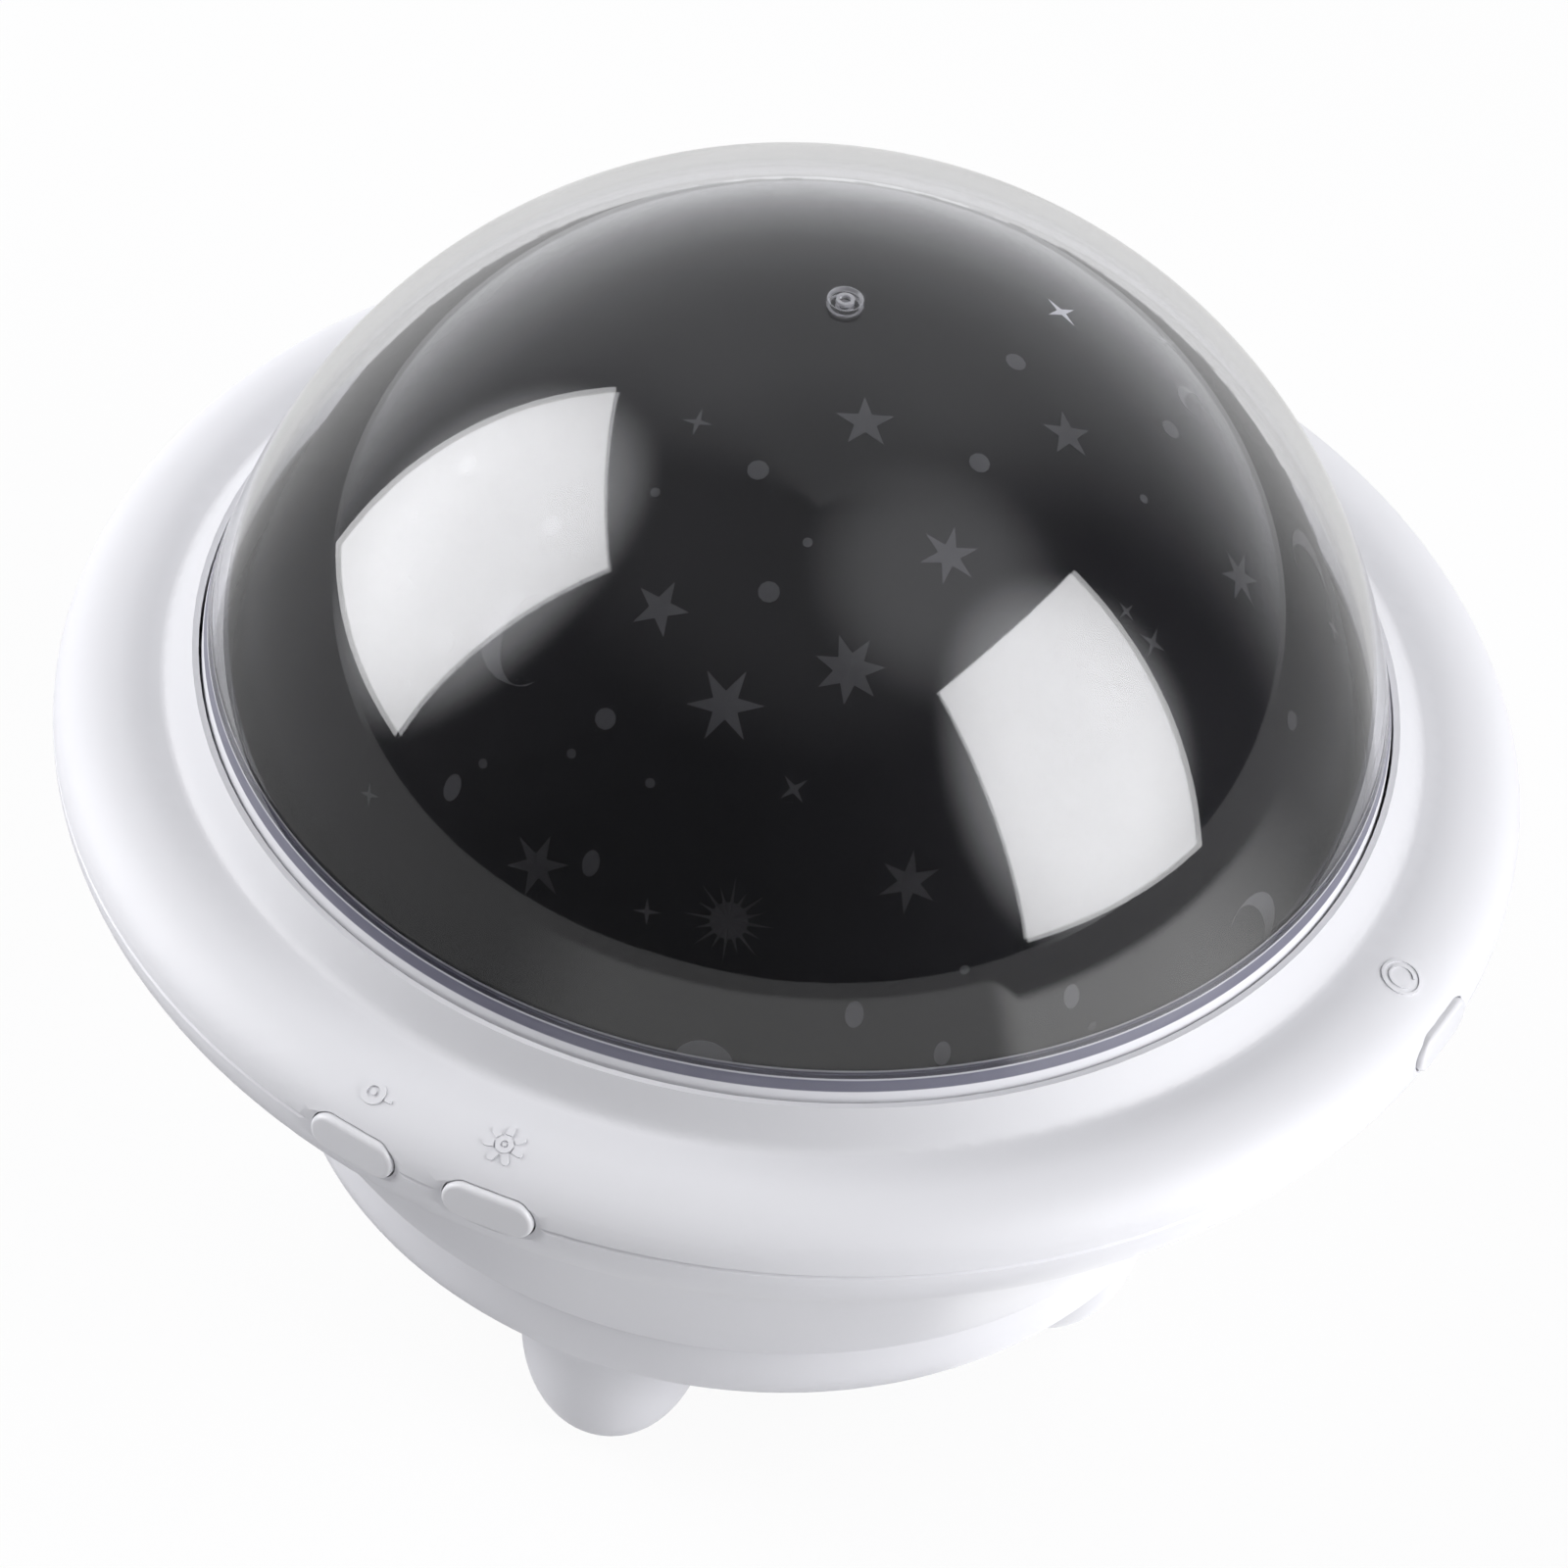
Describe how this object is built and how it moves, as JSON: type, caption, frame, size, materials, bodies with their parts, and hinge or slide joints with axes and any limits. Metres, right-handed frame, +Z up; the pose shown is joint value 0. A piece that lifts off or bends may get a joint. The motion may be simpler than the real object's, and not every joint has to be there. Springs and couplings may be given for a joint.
{
  "type": "star night light projector",
  "caption": "Saucer-shaped night light with a clear dome over a turning printed star dome, a satin white body with push buttons, and a base on short rounded legs.",
  "frame": {"origin": "centre of the plane that the foot pads stand on", "axes": "+Z up through the dome's apex, -Y the front between the buttons, +Y the back with the power socket"},
  "size_m": [0.18, 0.1798, 0.1537],
  "materials": {
    "shell_white": "satin",
    "button_white": "satin",
    "clear_cover": "polished",
    "star_print": "gloss",
    "inner_white": "matte",
    "inner_black": "matte",
    "gear_white": "satin",
    "turntable_black": "satin",
    "washer_clear": "satin",
    "board_green": "satin",
    "component_black": "matte",
    "lamp_lens": "polished",
    "motor_case": "satin",
    "steel": "satin",
    "pad_grey": "matte"
  },
  "bodies": {
    "body": {"base": "shell_white", "base_screws": "steel", "board_parts": "component_black", "board_screws": "steel", "body_screws": "steel", "brightness_key_board": "board_green", "brightness_switch": "component_black", "chassis": "inner_black", "chassis_screws": "steel", "foot_pads": "pad_grey", "lamp_post": "inner_white", "lamp_post_screws": "steel", "led_board": "board_green", "leds": "lamp_lens", "lower_shell": "shell_white", "main_board": "board_green", "motor": "motor_case", "motor_screws": "steel", "power_key_board": "board_green", "power_socket": "steel", "power_switch": "component_black", "rotate_key_board": "board_green", "rotate_switch": "component_black", "socket_board": "board_green", "socket_screws": "steel", "thrust_washer": "washer_clear", "upper_shell": "shell_white"},
    "turntable": {"turntable": "turntable_black", "star_dome": "star_print"},
    "drive": {"motor_shaft": "steel", "drive_pinion": "gear_white"},
    "cover": {"dome_cover": "clear_cover"},
    "rotate_key": {"rotate_button": "button_white", "rotate_plunger": "component_black"},
    "brightness_key": {"brightness_button": "button_white", "brightness_plunger": "component_black"},
    "power_key": {"power_button": "button_white", "power_plunger": "component_black"}
  },
  "joints": [
    {"name": "star_dome_spin", "type": "hinge", "parent": "body", "child": "turntable", "pos_m": [0, 0, 0.0835], "axis": [0, 0, 1], "continuous": true},
    {"name": "motor_shaft_spin", "type": "hinge", "parent": "body", "child": "drive", "pos_m": [0, 0.03762, 0.0785], "axis": [0, 0, 1], "continuous": true},
    {"name": "cover_twist", "type": "hinge", "parent": "body", "child": "cover", "pos_m": [0, 0, 0.084], "axis": [0, 0, 1], "range_deg": [0, 16]},
    {"name": "rotate_press", "type": "slide", "parent": "body", "child": "rotate_key", "axis": [0.8415, 0.5402, 0], "range_m": [0, 0.0006], "stiffness_N_per_m": 400},
    {"name": "brightness_press", "type": "slide", "parent": "body", "child": "brightness_key", "axis": [0.712, 0.7022, 0], "range_m": [0, 0.0006], "stiffness_N_per_m": 400},
    {"name": "power_press", "type": "slide", "parent": "body", "child": "power_key", "axis": [-0.6361, 0.7716, 0], "range_m": [0, 0.0006], "stiffness_N_per_m": 400}
  ],
  "couplings": [
    {"joint": "motor_shaft_spin", "follows": "star_dome_spin", "ratio": -4}
  ]
}
